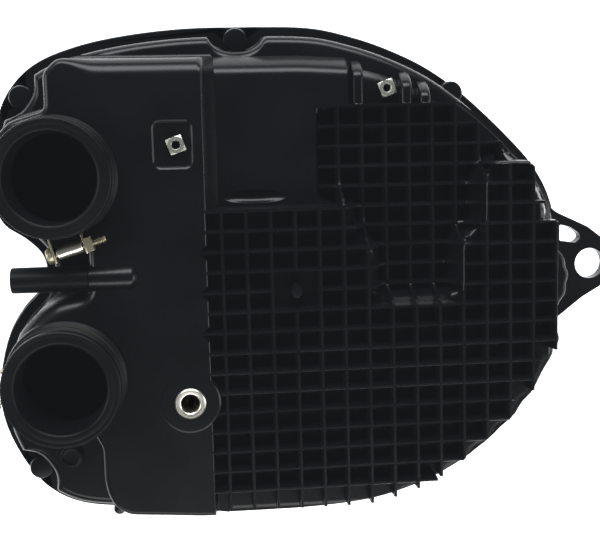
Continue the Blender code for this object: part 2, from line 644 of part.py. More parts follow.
def main():
    for obj in list(bpy.data.objects):
        bpy.data.objects.remove(obj, do_unlink=True)
    plastic = material("black plastic", (0.012, 0.012, 0.013), 0.42)
    rubber = material("black rubber", (0.009, 0.009, 0.01), 0.7)
    zinc = material("zinc plate", (0.62, 0.58, 0.42), 0.35, 1.0)
    steel = material("steel", (0.55, 0.55, 0.56), 0.35, 1.0)
    paper = material("filter paper", (0.62, 0.5, 0.3), 0.9)
    wire = material("wire screen", (0.4, 0.4, 0.42), 0.45, 1.0)
    make_case(plastic)
    make_cover(plastic)
    make_cover_screws(steel)
    make_cover_seal(rubber)
    make_intake_snorkel(rubber)
    make_divider(plastic, steel)
    make_element(rubber, paper, wire)
    for side, y, degrees, shift in CLAMPS:
        make_boot(f"duct_boot_{side}", y, rubber)
        make_clamp(side, y, degrees, shift, zinc, steel)
    make_small_pieces(rubber, zinc)


main()
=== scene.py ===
"""Looks of the airbox: fine geometry, materials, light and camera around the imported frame."""

import math

import bpy
import numpy as np
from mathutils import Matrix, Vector


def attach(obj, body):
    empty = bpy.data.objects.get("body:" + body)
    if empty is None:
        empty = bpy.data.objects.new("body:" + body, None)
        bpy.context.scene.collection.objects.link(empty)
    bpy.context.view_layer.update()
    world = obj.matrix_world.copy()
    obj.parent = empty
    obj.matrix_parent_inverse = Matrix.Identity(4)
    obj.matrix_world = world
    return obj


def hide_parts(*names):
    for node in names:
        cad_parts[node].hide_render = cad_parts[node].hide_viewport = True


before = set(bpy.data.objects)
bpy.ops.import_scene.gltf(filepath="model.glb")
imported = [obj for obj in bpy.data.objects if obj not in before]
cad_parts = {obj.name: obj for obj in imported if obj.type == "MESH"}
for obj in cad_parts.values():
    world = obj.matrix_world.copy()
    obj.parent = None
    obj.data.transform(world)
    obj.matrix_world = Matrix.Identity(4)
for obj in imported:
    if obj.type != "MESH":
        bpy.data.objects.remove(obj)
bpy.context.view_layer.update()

MM = 0.001
GAP = 0.3

# Heights of the moulding, in mm above the cover's floor.
COVER_RIM_Z = 33.0
PARTING_Z = 35.0
FLANGE_TOP_Z = 40.0
BOSS_TOP_Z = 48.5
LEDGE_Z = 59.0
SHOULDER_Z = 61.0
RECESS_Z = 69.0
FACE_Z = 84.0
SPIGOT_TOP_Z = 95.0
DUCT_TOP_Z = 106.0

WALL = 2.5
RIM_INSET = 7.5
DRAFT = 0.026

# Rib grid.
PITCH_X = 12.2
PITCH_Y = 10.2
RIB_HEIGHT = 9.0
GRID_X = -49.0
GRID_Y = 35.0
GRID_LEFT = -56.5
LOW_GRID_LEFT = 1.5
COLUMNS = 14
ROWS_BELOW = 15
ROWS_ABOVE = 5

DUCT_X = -128.0
DUCT_YS = (54.0, -46.0)
DUCT_BORE_R = 21.5
SPIGOT_R = 24.5
NIPPLE_Y = 4.0
NIPPLE_Z = 80.0
HOSE_END_X = -152.3
NOTCH_X = -114.0
NIPPLE_ROOT_X = -100.0
BULGE_X = -91.0
MOUNT = (-67.6, -60.8)
MOUNT_BORE_R = 8.4
COLLAR_R = 8.1
COLLAR_BORE_R = 4.7
DRAIN = (-130.7, -92.0)
SIDE_POST = (-105.5, -115.0)
PEG_Y = -6.4
DENT = (-31.2, 41.2)

# Clamps: side of the duct, its y, the direction of the screw from it in degrees, and the tabs'
# shift along the screw. The screw lies at SCREW_OFFSET from the duct's axis.
CLAMPS = (("upper", 54.0, -73.6, -4.0), ("lower", -46.0, 180.0, 0.0))
CLAMP_Z = 91.5
SCREW_OFFSET = 35.0
BAND_R = 27.3
BAND_THICKNESS = 0.9
TAB_REACH = 11.7
TAB_SPREAD = 7.2
SCREW_SHANK_R = 1.8
THREAD_PITCH = 0.8

EAR_HOLE = (156.0, -2.5)
EAR_HOLE_R = 8.4
EAR_POINTS = (
    (128, 34), (137, 26.5), (155, 18), (164, 11), (168.8, 4), (169.7, -3), (168, -10),
    (162.5, -15.7), (152, -21.6), (141.6, -29.6), (130, -38),
)
EAR_WINDOW = (
    (138.6, 10.5), (147.8, 9.2), (150.8, 12.0), (149.5, 14.8), (144.5, 18.2), (138.6, 19.6),
)

# Cover screws: x, y and the direction that faces out of the case, in degrees.
COVER_SCREWS = (
    (-148.3, 94.2, 148.0),
    (-38.0, 121.5, 90.0),
    (76.0, 92.4, 52.0),
    (-148.3, -100.7, 221.0),
    (130.5, -43.0, -15.0),
    (76.0, -100.5, -55.0),
    (-62.0, -121.5, -90.0),
)
SHOWN_BOSSES = 4
BOSSES_BESIDE_BLOCK = (0, 1, 3)
BOSS_IN_WALL = 2
BOSS_R = 6.2
SCREW_HOLE_R = 2.6
SCALLOP = 8.0
SCALLOP_REACH = 17.0

# Outlines of the flange and of the raised block, anticlockwise from the left notch.
RIM_LIMIT = np.array((170, 130))
RIM_POINTS = (
    (-142, 2), (-146.5, -7), (-155, -16), (-163, -29), (-168.2, -47), (-170, -64), (-166.8, -82),
    (-158, -101), (-147, -115), (-132, -124), (-112, -128), (-80, -129.5), (-40, -130),
    (-5, -129.5), (24, -127), (47, -121.5), (67, -113.5), (85, -103), (101, -90), (116, -76),
    (128, -60), (136, -40), (139.5, -15), (138.8, 10), (134.8, 33), (125.3, 52), (110, 69.5),
    (86, 92), (65, 107), (43, 117.6), (22, 124.7), (0, 129.2), (-32, 130), (-64, 129.6),
    (-94, 126.6), (-120, 121.3), (-142, 112.5), (-156.5, 98.5), (-164.3, 80), (-168.5, 55),
    (-167.5, 40), (-162, 28), (-151.5, 20.5), (-143.5, 12),
)
BLOCK_POINTS = (
    (-114, 20), (-114, -3), (-116, -4), (-125, -5), (-133, -7.5), (-142, -13), (-150, -22),
    (-154, -32), (-140, -60), (-118, -71), (-112, -82), (-112, -99), (-110.5, -106), (-107, -113),
    (-100, -117.3), (-78, -119), (-62, -120.3), (-56, -120.3), (-50, -121.6), (11, -122.2),
    (20, -122), (32, -121), (44, -116.4), (51, -114.7), (61, -110.6), (68.4, -105), (76, -101.8),
    (82.3, -94.8), (89, -91.8), (95.8, -83.3), (101.5, -80.1), (106.6, -71.3), (112.7, -65.6),
    (118.3, -54.1), (123.8, -46), (122.65, -37), (122.65, 24), (124, 30), (120, 39.5),
    (114, 49.5), (105.5, 57.5), (97, 66.5), (85.5, 77), (71.5, 87.5), (58.5, 96), (47.5, 101.5),
    (33, 106.5), (19, 109), (-7, 110.5), (-125, 110.5), (-132, 104), (-132, 86), (-139, 84),
    (-149, 81), (-155, 75), (-158, 60), (-156, 45), (-142, 28), (-128, 23), (-118, 24),
)
BLOCK_SPACING = 1.3
# Recess whose rib tops lie at RECESS_Z; its lower left side is the steep wall at STEP_Y.
RECESS_POINTS = (
    (-53.5, 30), (17, 30), (24, 22), (31, 14), (31, -10), (70, -10), (70, 16), (82, 26), (82, 48),
    (91, 58.5), (135, 58.5), (135, 135), (-53.5, 135),
)
STEP_Y = 36.2
RAMP = 7.5
SHOULDER_X = 18.0
# The shoulder's fins: x and the y at which each begins to fall.
FINS = ((22.8, 107.0), (47.9, 101.0), (57.5, 96.0))

# Upper and lower ends of the upright ribs, in rows, and right ends of the level ribs by row, in
# columns. LOW_LIMITS and RIGHT_LIMITS are the furthest that those ribs go: they stop sooner where
# END_MARGIN inside the block's edge comes first.
HIGH_ENDS = (0, 0, 0, 0, 0, -5, -5, -5, -5, -5, -5, -4, -3, -2, 1)
LOW_LIMITS = (15.2,) * 9 + (13.85, 13, 12, 11, 9.6, 7.55)
RIGHT_ENDS = {-5: 10, -4: 11, -3: 12, -2: 13, -1: 13, 0: 13.5}
RIGHT_LIMITS = {8: 13.4, 9: 13, 10: 12.2, 11: 12, 12: 11, 13: 10, 14: 8.85}
END_MARGIN = 3.2
RIDGE_COLUMN = 5
# The ribs that the oval peg stands among are left out beside it.
PEG_COLUMN = 3
PEG_ROW = 4
# Rows at whose height the smooth face's edge has a V notch.
NOTCH_ROWS = (2, 4, 6)
NOTCH_DEPTH = 4.2
NOTCH_HALF_WIDTH = 3.6

# Outlines of the hollows under the smooth face and under the ribs.
LEFT_HOLLOW = (
    (-111, 54), (-111, -46), (-109, -70), (-103.5, -80), (-104, -99), (-99, -115), (-60, -115),
    (-60, 104), (-122, 104), (-126, 84),
)
GRID_HOLLOW = (
    (-62, -115), (10, -115), (28, -112), (47, -107), (60, -100), (74, -92), (87, -78), (94, -73),
    (106, -62), (112, -45), (119, -35), (119, 25), (113, 35), (108, 45), (100, 56), (97, 62),
    (85, 48), (85, 24), (73, 16), (73, -15), (28, -15), (28, 12), (21, 20), (17, 33.5), (-62, 33.5),
)


# ---------------------------------------------------------------- outlines and heights

def outline_of(points, spacing, smoothing, curved=False):
    """Closed outline through the points at even spacing, with its corners rounded."""
    points = np.array(points, float)
    if curved:
        a, b, c, d = (np.roll(points, -k, 0)[:, None] for k in (-1, 0, 1, 2))
        t = np.linspace(0, 1, 8, endpoint=False)[None, :, None]
        points = (0.5 * (2 * b + (c - a) * t + (2 * a - 5 * b + 4 * c - d) * t ** 2
                         + (3 * b - a - 3 * c + d) * t ** 3)).reshape(-1, 2)
    closed = np.vstack([points, points[:1]])
    along = np.concatenate([[0], np.cumsum(np.linalg.norm(np.diff(closed, axis=0), axis=1))])
    count = int(along[-1] / spacing)
    at = np.linspace(0, along[-1], count, endpoint=False)
    even = np.stack([np.interp(at, along, closed[:, k]) for k in (0, 1)], 1)
    if smoothing:
        reach = int(3 * smoothing / spacing) + 1
        weights = np.exp(-0.5 * (np.arange(-reach, reach + 1) * spacing / smoothing) ** 2)
        weights /= weights.sum()
        even = sum(w * np.roll(even, k, 0) for w, k in zip(weights, range(-reach, reach + 1)))
    return even


def normals_in(outline):
    """Unit normals that point into an anticlockwise outline."""
    along = np.roll(outline, -1, 0) - np.roll(outline, 1, 0)
    inward = np.stack([-along[:, 1], along[:, 0]], 1)
    return inward / np.linalg.norm(inward, axis=1, keepdims=True)


RIM = outline_of(RIM_POINTS, 1.6, 0, curved=True)
RIM = np.clip(RIM, -RIM_LIMIT, RIM_LIMIT)
RIM_IN = normals_in(RIM)
BLOCK = outline_of(BLOCK_POINTS, BLOCK_SPACING, 2.0)
BLOCK_IN = normals_in(BLOCK)
RECESS = outline_of(RECESS_POINTS, 4.0, 2.5)


def rim_inset(distance, scallop=0.0, screws=COVER_SCREWS):
    """The rim moved inwards, and further in beside each screw boss by up to the scallop."""
    extra = np.zeros(len(RIM))
    for x, y, _ in screws:
        near = np.minimum(np.linalg.norm(RIM - (x, y), axis=1) / SCALLOP_REACH, 1)
        extra = np.maximum(extra, scallop * (1 - near ** 4))
    return RIM + RIM_IN * (distance + extra)[:, None]


def inside_distance(x, y, outline):
    """Signed distance to a closed outline, positive inside."""
    best = np.full(x.shape, np.inf)
    odd = np.zeros(x.shape, bool)
    for (ax, ay), (bx, by) in zip(outline, np.roll(outline, -1, 0)):
        dx, dy = bx - ax, by - ay
        px, py = x - ax, y - ay
        t = np.clip((px * dx + py * dy) / (dx * dx + dy * dy + 1e-12), 0, 1)
        best = np.minimum(best, (px - t * dx) ** 2 + (py - t * dy) ** 2)
        if dy:
            odd ^= ((ay > y) != (by > y)) & (x < ax + (y - ay) * dx / dy)
    return np.where(odd, 1, -1) * np.sqrt(best)


def smooth(t):
    """Eased step from 0 to 1."""
    t = np.clip(t, 0, 1)
    return t * t * (3 - 2 * t)


def rib_x(column):
    return GRID_X + column * PITCH_X


def rib_y(row):
    return GRID_Y - row * PITCH_Y


def low_end(column):
    """Row at which an upright rib stops short of the block's lower edge."""
    y = np.arange(-124, -20, 0.1)
    inside = inside_distance(np.full(y.shape, rib_x(column)), y, BLOCK)
    return min((GRID_Y - y[np.argmax(inside > END_MARGIN)]) / PITCH_Y, LOW_LIMITS[column])


def right_end(row):
    """Column at which a level rib stops short of the block's lower right edge."""
    x = np.arange(122.0, 0, -0.1)
    inside = inside_distance(x, np.full(x.shape, rib_y(row)), BLOCK)
    return min((x[np.argmax(inside > END_MARGIN)] - GRID_X) / PITCH_X, RIGHT_LIMITS[row])


LOW_ENDS = [low_end(column) for column in range(COLUMNS)] + [LOW_LIMITS[COLUMNS]]
RIGHT_ENDS.update({row: COLUMNS for row in range(1, 8)})
RIGHT_ENDS.update({row: right_end(row) for row in RIGHT_LIMITS})


# ---------------------------------------------------------------- mesh building

def new_object(name, points, faces):
    """Object from points in millimetres."""
    mesh = bpy.data.meshes.new(name)
    mesh.from_pydata((np.asarray(points, float) * MM).tolist(), [], faces)
    obj = bpy.data.objects.new(name, mesh)
    bpy.context.scene.collection.objects.link(obj)
    return obj


def loft(name, rings):
    """Solid through (outline, z) rings of equal count, with z one number or one for each point."""
    count = len(rings[0][0])
    points = []
    for outline, z in rings:
        points.append(np.column_stack([outline, np.broadcast_to(z, count)]))
    points = np.vstack(points)
    total = len(points)
    faces = []
    for k in range(len(rings) - 1):
        low, high = k * count, (k + 1) * count
        for i in range(count):
            j = (i + 1) % count
            faces.append((low + i, low + j, high + j, high + i))
    faces.append(tuple(reversed(range(count))))
    faces.append(tuple(range(total - count, total)))
    return new_object(name, points, faces)


def turned(name, profile, centre, along=(0, 0, 1), segments=64, squash=1.0):
    """Solid of revolution from (radius, height) points, through the centre and along the axis.

    The profile either starts and ends on the axis, or closes on itself as a ring.
    """
    profile = np.array(profile, float)
    ring = profile[:, 0].min() > 0
    angles = np.arange(segments) * 2 * math.pi / segments
    circle = np.stack([np.cos(angles), np.sin(angles) * squash], 1)
    points, starts = [], []
    for r, z in profile:
        starts.append(len(points))
        if r > 0:
            points += [(r * x, r * y, z) for x, y in circle]
        else:
            points.append((0, 0, z))
    faces = []
    for k in range(len(profile) if ring else len(profile) - 1):
        m = (k + 1) % len(profile)
        a, b = starts[k], starts[m]
        for i in range(segments):
            j = (i + 1) % segments
            low = (a + i, a + j) if profile[k, 0] > 0 else (a,)
            high = (b + j, b + i) if profile[m, 0] > 0 else (b,)
            faces.append(low + high)
    points = np.array(points)
    following = np.roll(profile, -1, 0)
    if np.sum(profile[:, 0] * following[:, 1] - following[:, 0] * profile[:, 1]) < 0:
        faces = [tuple(reversed(face)) for face in faces]
    turn_to = np.array(Vector((0, 0, 1)).rotation_difference(Vector(along)).to_matrix())
    centre = centre if len(centre) == 3 else (*centre, 0)
    return new_object(name, points @ turn_to.T + centre, faces)


def prism(name, outline, low, high):
    return loft(name, [(np.asarray(outline, float), low), (np.asarray(outline, float), high)])


def rounded_prism(name, outline, low, high, radius):
    """Prism with its upper edge rounded by moving the outline in."""
    inward = normals_in(outline)
    rings = [(outline, low)]
    for a in np.linspace(0, math.pi / 2, 5):
        rings.append((outline + inward * radius * (1 - math.cos(a)),
                      high - radius * (1 - math.sin(a))))
    return loft(name, rings)


def rectangle(x, y, width, height, corner=0.0, steps=6):
    """Anticlockwise rectangle about (x, y), with rounded corners if asked."""
    half_w, half_h = width / 2, height / 2
    if not corner:
        return np.array([(x - half_w, y - half_h), (x + half_w, y - half_h),
                         (x + half_w, y + half_h), (x - half_w, y + half_h)])
    points = []
    for sx, sy, start in ((1, 1, 0), (-1, 1, 90), (-1, -1, 180), (1, -1, 270)):
        for k in range(steps + 1):
            a = math.radians(start + 90 * k / steps)
            points.append((x + sx * (half_w - corner) + corner * math.cos(a),
                           y + sy * (half_h - corner) + corner * math.sin(a)))
    return np.array(points)


def combine(base, others, operation):
    """Runs Booleans on the base and keeps only the resulting mesh."""
    for other in others:
        modifier = base.modifiers.new("combine", "BOOLEAN")
        modifier.object = other
        modifier.operation = operation
        modifier.solver = "MANIFOLD"
    graph = bpy.context.evaluated_depsgraph_get()
    mesh = bpy.data.meshes.new_from_object(base.evaluated_get(graph), depsgraph=graph)
    base.modifiers.clear()
    old, base.data = base.data, mesh
    bpy.data.meshes.remove(old)
    for other in others:
        bpy.data.objects.remove(other, do_unlink=True)
    return base


def join(base, *others):
    return combine(base, others, "UNION")


def cut(base, *others):
    return combine(base, others, "DIFFERENCE")


def soften(obj, angle):
    """Smooth shading with sharp edges past the angle, in degrees."""
    obj.data.shade_smooth()
    obj.data.set_sharp_from_angle(angle=math.radians(angle))
    modifier = obj.modifiers.new("weighted", "WEIGHTED_NORMAL")
    modifier.keep_sharp = True


# ---------------------------------------------------------------- case: ribbed back

# Half of a rib's section: distance from its middle and share of its height.
RIB_SIDE = ((0.0, 1.0), (0.5, 1.0), (0.68, 0.996), (0.77, 0.955), (0.93, 0.06), (1.05, 0.0))


def rib_profile(distance):
    """Share of a rib's height at a distance from its middle."""
    return np.interp(np.abs(distance), [d for d, _ in RIB_SIDE], [h for _, h in RIB_SIDE])


def level(x, y, ridge=False):
    """Height of the rib tops: the face, or the recess with its S-shaped ramps.

    With the ridge, one upright rib comes down more slowly past the step.
    """
    face = FACE_Z - 0.03
    depth = smooth(inside_distance(x, y, RECESS) / RAMP + 0.5)
    step = smooth((y - STEP_Y + 0.4) / 0.8)
    beside = smooth((x - 15) / 8)
    depth = np.minimum(depth, step + (1 - step) * beside)
    top = face - (FACE_Z - RECESS_Z) * depth
    if ridge:
        slope = face - (FACE_Z - RECESS_Z) * smooth((y - 36) / 12)
        on_it = np.abs(x - rib_x(RIDGE_COLUMN)) < 1.2
        top = np.where(on_it, np.maximum(top, slope * (y > 30)), top)
    return top


def ribs_at(x, y):
    """How much of the rib height stands at a point, 0 to 1."""
    found = np.zeros(x.shape)
    end_blend = 0.35
    for i in range(COLUMNS + 1):
        bottom, top = rib_y(LOW_ENDS[i]), rib_y(HIGH_ENDS[i])
        keep = smooth((y - bottom) / end_blend + 0.5) * smooth((top - y) / end_blend + 0.5)
        if i == PEG_COLUMN:
            keep = keep * (1 - ((y < rib_y(PEG_ROW - 1)) & (y > rib_y(PEG_ROW + 1))))
        found = np.maximum(found, rib_profile(x - rib_x(i)) * keep)
    for j, right in RIGHT_ENDS.items():
        start = GRID_LEFT - 6 if j >= 0 else LOW_GRID_LEFT
        end = rib_x(right)
        keep = smooth((x - start) / end_blend + 0.5) * smooth((end - x) / end_blend + 0.5)
        if j == PEG_ROW:
            keep = keep * (1 - ((x > rib_x(PEG_COLUMN - 1)) & (x < rib_x(PEG_COLUMN + 1))))
        found = np.maximum(found, rib_profile(y - rib_y(j)) * keep)
    return found


def face_edge(x, y):
    """How far a point lies right of the smooth face's edge, with its V notches."""
    edge = np.full(x.shape, GRID_LEFT)
    for j in NOTCH_ROWS:
        edge = edge - NOTCH_DEPTH * np.clip(1 - np.abs(y - rib_y(j)) / NOTCH_HALF_WIDTH, 0, 1)
    return x - edge


def back_height(x, y):
    """Height of the case's back, which lies above the envelope wherever the envelope shows."""
    above_all = FACE_Z + 6
    block = inside_distance(x, y, BLOCK[::2])
    top = level(x, y)
    fall = (0.9 + 0.5 * smooth((x - 20) / 30)) * np.clip((3.5 - block) / 3.5, 0, 1.2) ** 2
    raised = 1 - (FACE_Z - top) / (FACE_Z - RECESS_Z)
    upper_fall = raised * 14.0 * np.clip((6.0 - block) / 6.0, 0, 1) ** 1.6
    fall = np.where(y > rib_y(1), upper_fall, fall)
    high_fall = 7.0 * np.clip((8.5 - block) / 8.5, 0, 2) ** 2
    floor = top - RIB_HEIGHT - fall
    ribs = ribs_at(x, y)
    height = floor + (level(x, y, ridge=True) - floor) * ribs
    # Left of the grid: the flat face above the step, and below it the face's rounded edge.
    flat = top - high_fall
    beyond = face_edge(x, y)
    rounded = FACE_Z + np.interp(beyond, (-1.2, -0.7, -0.3, 0.0, 0.15, 0.7, 1.4),
                                 (0.1, -0.05, -0.35, -1.5, -8.0, -8.7, -9.0))
    rounded = np.where(beyond < -1.2, above_all, rounded)
    below_step = y < STEP_Y - 0.35
    height = np.where(below_step & (x < GRID_X - 0.5), np.maximum(rounded, height), height)
    # The smooth part of the recess, and the edge where the low grid begins.
    low_grid = rectangle(LOW_GRID_LEFT + 25, 61.4, 50, 49.2, 6.5)
    low_edge = inside_distance(x, y, low_grid)
    into = np.interp(low_edge, (-1.2, -0.5, 0.0, 0.2, 1.2), (0.0, 0.12, 0.35, 0.93, 1.0))
    smooth_part = (~below_step) & (x < LOW_GRID_LEFT + 9.0)
    sunk = flat + (height - flat) * np.where(ribs > 0.5, np.where(low_edge > 0, 1, 0), into)
    height = np.where(smooth_part, sunk, height)
    height = np.where(smooth_part & (x < GRID_LEFT - 1.5), above_all, height)
    # Shoulder above the low grid, with the skin falling outward, and its three fins.
    top_row = rib_y(-ROWS_ABOVE)
    above_grid = y > top_row + 0.86
    skin = SHOULDER_Z - 5.0 * np.clip((9.0 - block) / 9.0, 0, 2) ** 2
    onto = smooth((x - SHOULDER_X) / 2.5)
    height = np.where(above_grid & (x > SHOULDER_X), flat + (skin - flat) * onto, height)
    plain = above_grid & (x <= SHOULDER_X) & (x > GRID_LEFT - 1.5)
    height = np.where(plain, flat, height)
    for fin_x, fin_top in FINS:
        across = np.interp(np.abs(x - fin_x), (0, 1.6, 2.3, 2.7, 2.95, 3.1, 3.6),
                           (0, 0.15, 0.55, 1.1, 2.0, 8.5, 30))
        along = 6.0 * np.clip((y - fin_top + 7) / 7, 0, 3) ** 2
        fin = RECESS_Z - 0.1 - across - along
        height = np.where(y > top_row - 0.2, np.maximum(height, fin), height)
    return height


def grid_lines():
    """The x and y lines of the back's mesh, closer together wherever its height turns."""
    near = [distance for distance, _ in RIB_SIDE[1:]]
    offsets = [-d for d in near] + [0.0] + near
    xs = [rib_x(i) + d for i in range(COLUMNS + 1) for d in offsets]
    xs += [rib_x(i) + d for i in range(-1, COLUMNS + 1) for d in (3.6, 5.2, 6.9, 8.6)]
    xs += list(np.arange(-61.5, -54.8, 0.35)) + [-172, -120, -70, -64, -62.5]
    xs += [LOW_GRID_LEFT + d for d in (-1.2, -0.5, 0.0, 0.2, 1.2)]
    xs += [fin + side * d for fin, _ in FINS for side in (-1, 1)
           for d in (1.6, 2.3, 2.7, 2.95, 3.1, 3.6)]
    ys = [rib_y(j) + d for j in range(-ROWS_ABOVE, ROWS_BELOW) for d in offsets]
    ys += [rib_y(j) - d for j in range(-ROWS_ABOVE, ROWS_BELOW) for d in (3.4, 5.1, 6.8)]
    ys += list(np.arange(88.6, 119, 1.4)) + list(np.arange(-122, -115.5, 0.8))
    ys += [rib_y(j) + side * d for j in NOTCH_ROWS for side in (-1, 1)
           for d in (1.7, 2.4, 2.9, NOTCH_HALF_WIDTH)]
    ys += [STEP_Y + d for d in (-0.4, -0.1, 0.15, 0.4)]
    ys += [rib_y(end) + d for end in (*LOW_ENDS, *HIGH_ENDS) for d in (-0.18, 0.18)]
    xs += [rib_x(end) + d for end in RIGHT_ENDS.values() for d in (-0.18, 0.18)]
    return merged(xs), merged(ys)


def merged(values, least=0.09):
    """Sorted values with those closer than the least spacing left out."""
    kept = []
    for value in sorted(values):
        if not kept or value - kept[-1] >= least:
            kept.append(value)
    return np.array(kept)


def ribbed_back():
    """Solid from a height field: its skin, a wall down from its edge, and a flat underside."""
    xs, ys = grid_lines()
    x, y = np.meshgrid(xs, ys, indexing="ij")
    z = back_height(x, y)
    nx, ny = z.shape
    underside_z = 44.0
    top = np.column_stack([x.ravel(), y.ravel(), z.ravel()])
    under = np.column_stack([x.ravel(), y.ravel(), np.full(x.size, underside_z)])
    number = np.arange(nx * ny).reshape(nx, ny)
    quads = np.stack([number[:-1, :-1], number[1:, :-1], number[1:, 1:], number[:-1, 1:]], -1)
    faces = quads.reshape(-1, 4).tolist()
    edge = (list(number[:, 0]) + list(number[-1, 1:]) + list(number[-2::-1, -1])
            + list(number[0, -2:0:-1]))
    edge = [int(k) for k in edge]
    used = {k: nx * ny + n for n, k in enumerate(edge)}
    faces += [(used[a], used[b], b, a) for a, b in zip(edge, edge[1:] + edge[:1])]
    faces.append(tuple(used[k] for k in reversed(edge)))
    return new_object("case_back", np.vstack([top, under[edge]]), faces)


def top_fillets():
    """Radius of the envelope's upper edge at each point of the block outline.

    Where the outline turns in a tight bend, the radius stays under the bend's own.
    """
    x, y = BLOCK[:, 0], BLOCK[:, 1]
    largest = 9.0
    radius = np.full(len(BLOCK), 3.0)
    top = (y > 100) & (x < -50)
    radius = np.where(top, 3.0 + (largest - 3.0) * smooth((x + 122) / 14), radius)
    lobe = (y < -3.5) & (y > -40) & (x < -116)
    radius = np.where(lobe, 8.5, radius)
    radius = np.where((x < -52) & (y < -106), 2.2, radius)
    radius = np.where((x > -52) & (y < -40), 1.0, radius)
    radius = np.where((x > 60) | ((x > -50) & (y > 60)), 0.6, radius)
    heading = np.unwrap(np.arctan2(-BLOCK_IN[:, 0], BLOCK_IN[:, 1]))
    for span in (2, 4, 7):
        bend = np.roll(heading, -span) - np.roll(heading, span)
        bend = (bend + math.pi) % (2 * math.pi) - math.pi
        tightest = 2 * span * BLOCK_SPACING / np.maximum(bend, 1e-3)
        radius = np.minimum(radius, np.where(bend > 0, 0.8 * tightest, largest))
    weights = np.exp(-0.5 * (np.arange(-6, 7) / 2.5) ** 2)
    weights /= weights.sum()
    return sum(w * np.roll(radius, k) for w, k in zip(weights, range(-6, 7)))


def envelope():
    """Smooth block with a foot fillet at the ledge, drafted walls and a rounded upper edge."""
    foot, flare = 3.0, 0.6
    rings = [(BLOCK - BLOCK_IN * flare, 43.0), (BLOCK - BLOCK_IN * flare, LEDGE_Z - 1.5),
             (BLOCK - BLOCK_IN * (foot + flare), LEDGE_Z - 0.4)]
    for a in np.linspace(0, math.pi / 2, 6):
        out = foot * (1 - math.sin(a)) + flare
        rings.append((BLOCK - BLOCK_IN * out, LEDGE_Z + foot * (1 - math.cos(a))))
    radius = top_fillets()
    for a in np.linspace(0, math.pi / 2, 9):
        z = FACE_Z - radius * (1 - math.sin(a))
        shift = radius * (1 - math.cos(a)) - DRAFT * (FACE_Z - z)
        rings.append((BLOCK + BLOCK_IN * shift[:, None], z))
    block = loft("envelope", rings)
    beside = [COVER_SCREWS[number] for number in BOSSES_BESIDE_BLOCK]
    limit = prism("envelope limit", rim_inset(RIM_INSET + 0.4, SCALLOP, beside), 40.0, 100.0)
    return combine(block, [limit], "INTERSECT")


# ---------------------------------------------------------------- case: the rest

def case_base():
    """Flange lip and drafted wall up to the ledge, both with rounded edges."""
    lip = loft("case", [(rim_inset(0.8), PARTING_Z), (rim_inset(0.8), FLANGE_TOP_Z - 0.9),
                        (rim_inset(1.05), FLANGE_TOP_Z - 0.3), (rim_inset(1.7), FLANGE_TOP_Z)])
    foot, head = 1.6, 4.6
    beside = [screw for number, screw in enumerate(COVER_SCREWS) if number != BOSS_IN_WALL]
    rings = [(rim_inset(RIM_INSET - foot - 0.3, 7.0, beside), PARTING_Z + 2)]
    for a in np.linspace(0, math.pi / 2, 5):
        rings.append((rim_inset(RIM_INSET - 0.3 - foot * (1 - math.sin(a)), 7.5, beside),
                      FLANGE_TOP_Z + foot * (1 - math.cos(a))))
    for a in np.linspace(0, math.pi / 2, 8):
        rings.append((rim_inset(RIM_INSET + head * (1 - math.cos(a)), SCALLOP, beside),
                      LEDGE_Z - head * (1 - math.sin(a))))
    return join(lip, loft("case wall", rings))


def duct_bases():
    """Round base of each duct and the spigot that its boot sits on."""
    made = []
    for y in DUCT_YS:
        base = [(0, 42), (30.5, 42), (30.5, 82.6), (30.1, 83.5), (29.2, FACE_Z - 0.02),
                (0, FACE_Z - 0.02)]
        made.append(turned(f"duct base {y:.0f}", base, (DUCT_X, y), segments=112))
        spigot = [(0, 80), (SPIGOT_R, 80), (SPIGOT_R, 94.2), (SPIGOT_R - 0.8, SPIGOT_TOP_Z),
                  (0, SPIGOT_TOP_Z)]
        made.append(turned(f"spigot {y:.0f}", spigot, (DUCT_X, y), segments=112))
    return made


def bosses():
    """One flat-topped boss for each cover screw."""
    profile = [(0, PARTING_Z + 1), (BOSS_R, PARTING_Z + 1), (BOSS_R, BOSS_TOP_Z - 0.9),
               (BOSS_R - 0.25, BOSS_TOP_Z - 0.3), (BOSS_R - 0.8, BOSS_TOP_Z), (0, BOSS_TOP_Z)]
    return [turned(f"boss {number}", profile, (x, y), segments=48)
            for number, (x, y, _) in enumerate(COVER_SCREWS)]


def ear_piece():
    arm = outline_of(EAR_POINTS, 1.2, 1.0)[::-1]
    return rounded_prism("ear", arm, PARTING_Z + 0.5, 42.0, 0.8)


def ear_wall():
    """Scalloped wall between the block and the ear, with a rounded upper edge."""
    top_z, rounding, draft = 64.0, 2.5, 1.6
    points = [(118, 24), (127, 17)]
    for y in np.linspace(13, -26, 60):
        bulge = 136.8 - 0.021 * (y + 7) ** 2
        points.append((bulge + 1.0 * abs(math.cos(math.pi * (y - GRID_Y) / PITCH_Y)), y))
    points += [(127, -31), (118, -38)]
    outline = outline_of(points[::-1], 1.0, 0.5)
    inward = normals_in(outline)
    rings = [(outline, PARTING_Z + 4)]
    for a in np.linspace(0, math.pi / 2, 5):
        rings.append((outline + inward * (rounding * (1 - math.cos(a)) + draft),
                      top_z - rounding * (1 - math.sin(a))))
    return loft("ear wall", rings)


def mount_ring():
    profile = [(0, 60), (15.5, 60), (15.5, FACE_Z - 0.3), (15.3, FACE_Z), (14.5, FACE_Z + 0.42),
               (14.1, FACE_Z + 0.5), (0, FACE_Z + 0.5)]
    return turned("mount ring", profile, MOUNT, segments=72)


